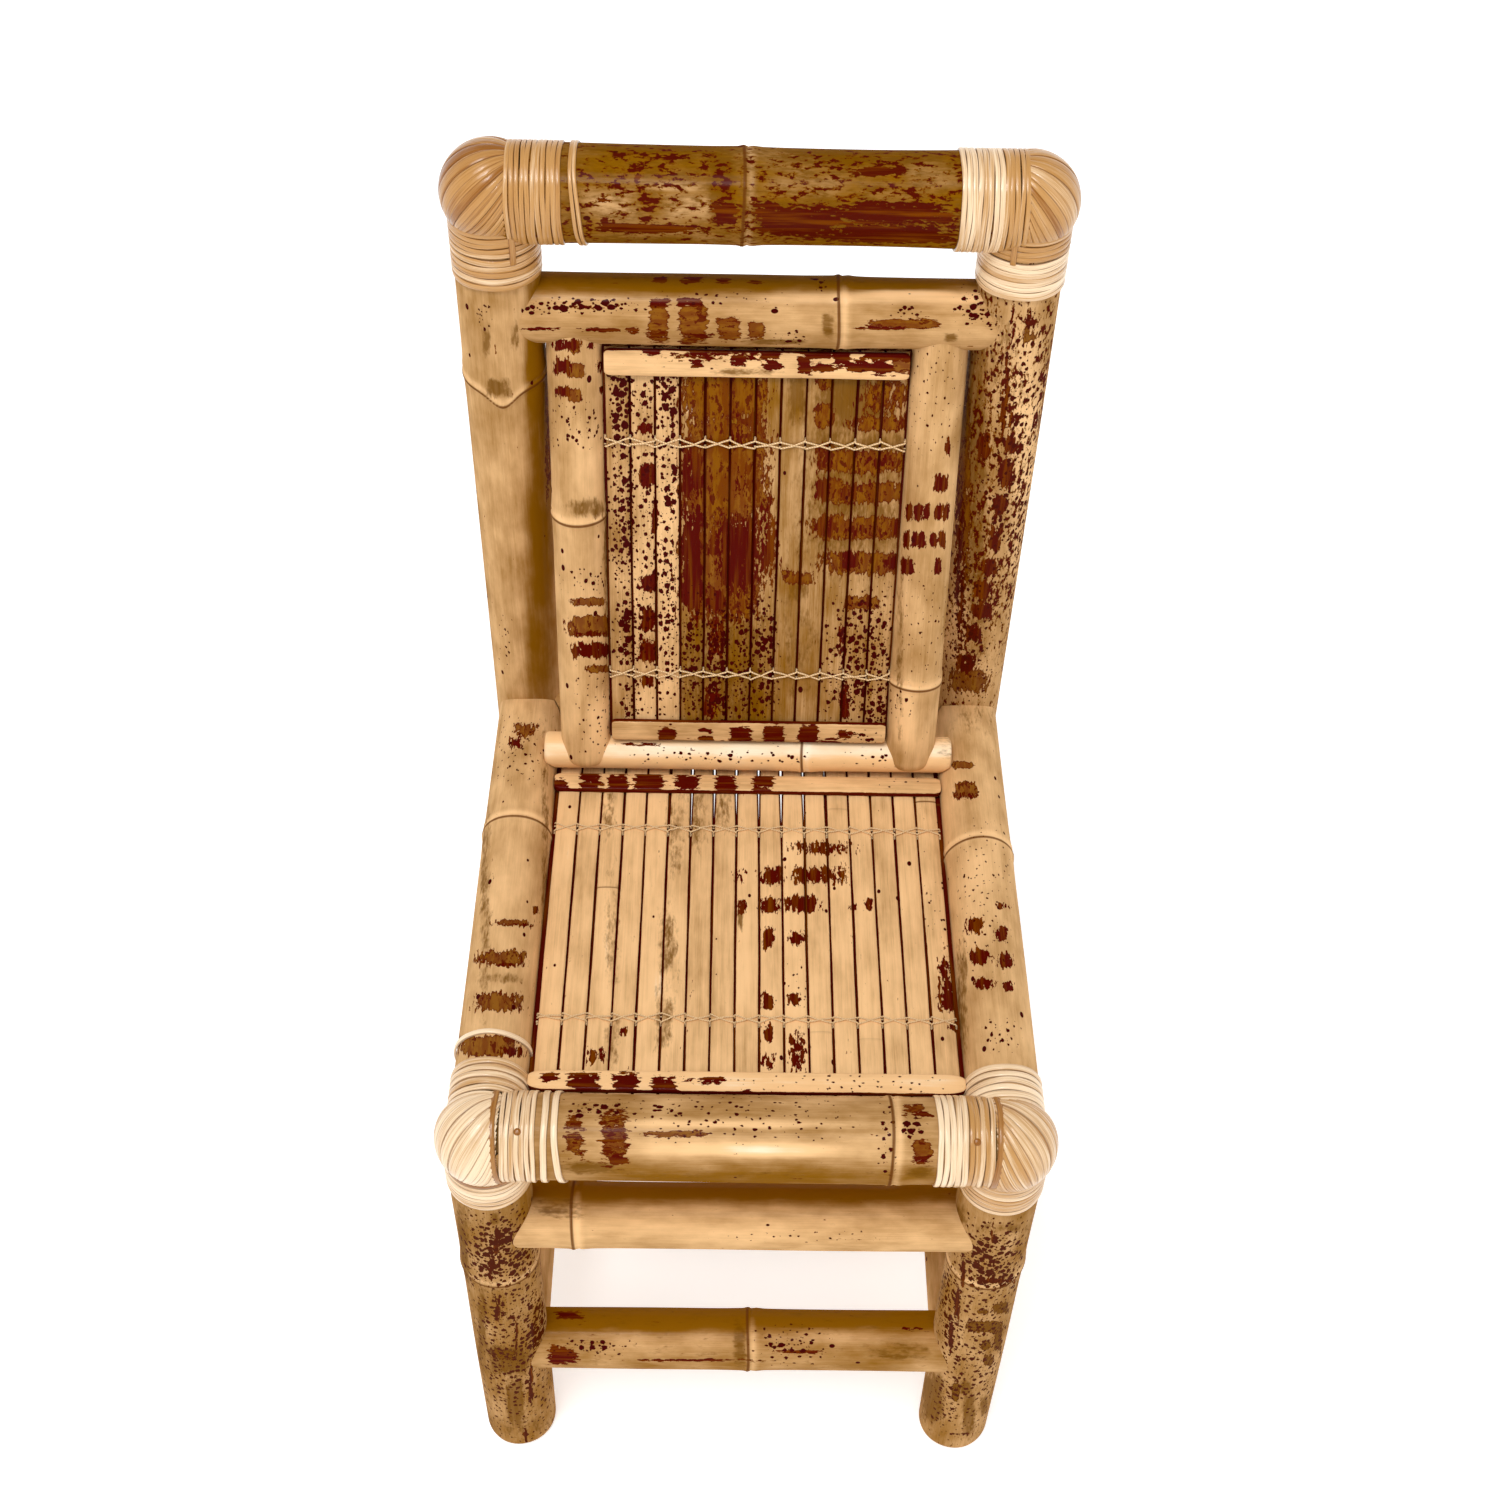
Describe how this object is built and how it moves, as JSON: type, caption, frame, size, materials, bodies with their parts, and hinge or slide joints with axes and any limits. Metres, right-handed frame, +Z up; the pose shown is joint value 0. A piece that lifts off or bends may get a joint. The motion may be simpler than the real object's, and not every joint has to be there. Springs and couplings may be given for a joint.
{
  "type": "chair",
  "caption": "Armless bamboo side chair with tortoise-shell burned culms, laced slat seat and back, and cane-wrapped corners",
  "frame": {"origin": "centre of the chair's bounding box on the floor, under the feet", "axes": "+X to the right seen from the front, +Y to the back, +Z up"},
  "size_m": [0.4414, 0.5134, 0.9511],
  "materials": {
    "bamboo": "varnished, tortoise-shell burn marks",
    "split_bamboo": "varnished, tortoise-shell burn marks",
    "cane": "varnished",
    "thread": "matte",
    "dowel_wood": "plain"
  },
  "bodies": {
    "root": {"back_battens": "bamboo", "back_bottom_strip": "split_bamboo", "back_lacing": "thread", "back_slat_01": "split_bamboo", "back_slat_02": "split_bamboo", "back_slat_03": "split_bamboo", "back_slat_04": "split_bamboo", "back_slat_05": "split_bamboo", "back_slat_06": "split_bamboo", "back_slat_07": "split_bamboo", "back_slat_08": "split_bamboo", "back_slat_09": "split_bamboo", "back_slat_10": "split_bamboo", "back_slat_11": "split_bamboo", "back_slat_12": "split_bamboo", "back_stile_left": "bamboo", "back_stile_right": "bamboo", "back_top_strip": "split_bamboo", "corner_wrap_front_left": "cane", "corner_wrap_front_right": "cane", "corner_wrap_top_left": "cane", "corner_wrap_top_right": "cane", "front_apron_rail": "bamboo", "front_leg_left": "bamboo", "front_leg_right": "bamboo", "front_stretcher": "bamboo", "joint_dowels": "dowel_wood", "lower_back_rail": "bamboo", "rear_post_left": "bamboo", "rear_post_right": "bamboo", "rear_stretcher": "bamboo", "seat_battens": "bamboo", "seat_front_rail": "bamboo", "seat_front_strip": "split_bamboo", "seat_lacing": "thread", "seat_rear_rail": "bamboo", "seat_rear_strip": "split_bamboo", "seat_side_rail_left": "bamboo", "seat_side_rail_right": "bamboo", "seat_slat_01": "split_bamboo", "seat_slat_02": "split_bamboo", "seat_slat_03": "split_bamboo", "seat_slat_04": "split_bamboo", "seat_slat_05": "split_bamboo", "seat_slat_06": "split_bamboo", "seat_slat_07": "split_bamboo", "seat_slat_08": "split_bamboo", "seat_slat_09": "split_bamboo", "seat_slat_10": "split_bamboo", "seat_slat_11": "split_bamboo", "seat_slat_12": "split_bamboo", "seat_slat_13": "split_bamboo", "seat_slat_14": "split_bamboo", "seat_slat_15": "split_bamboo", "seat_slat_16": "split_bamboo", "seat_slat_17": "split_bamboo", "side_stretcher_left": "bamboo", "side_stretcher_right": "bamboo", "top_rail": "bamboo", "upper_back_rail": "bamboo"}
  },
  "joints": []
}
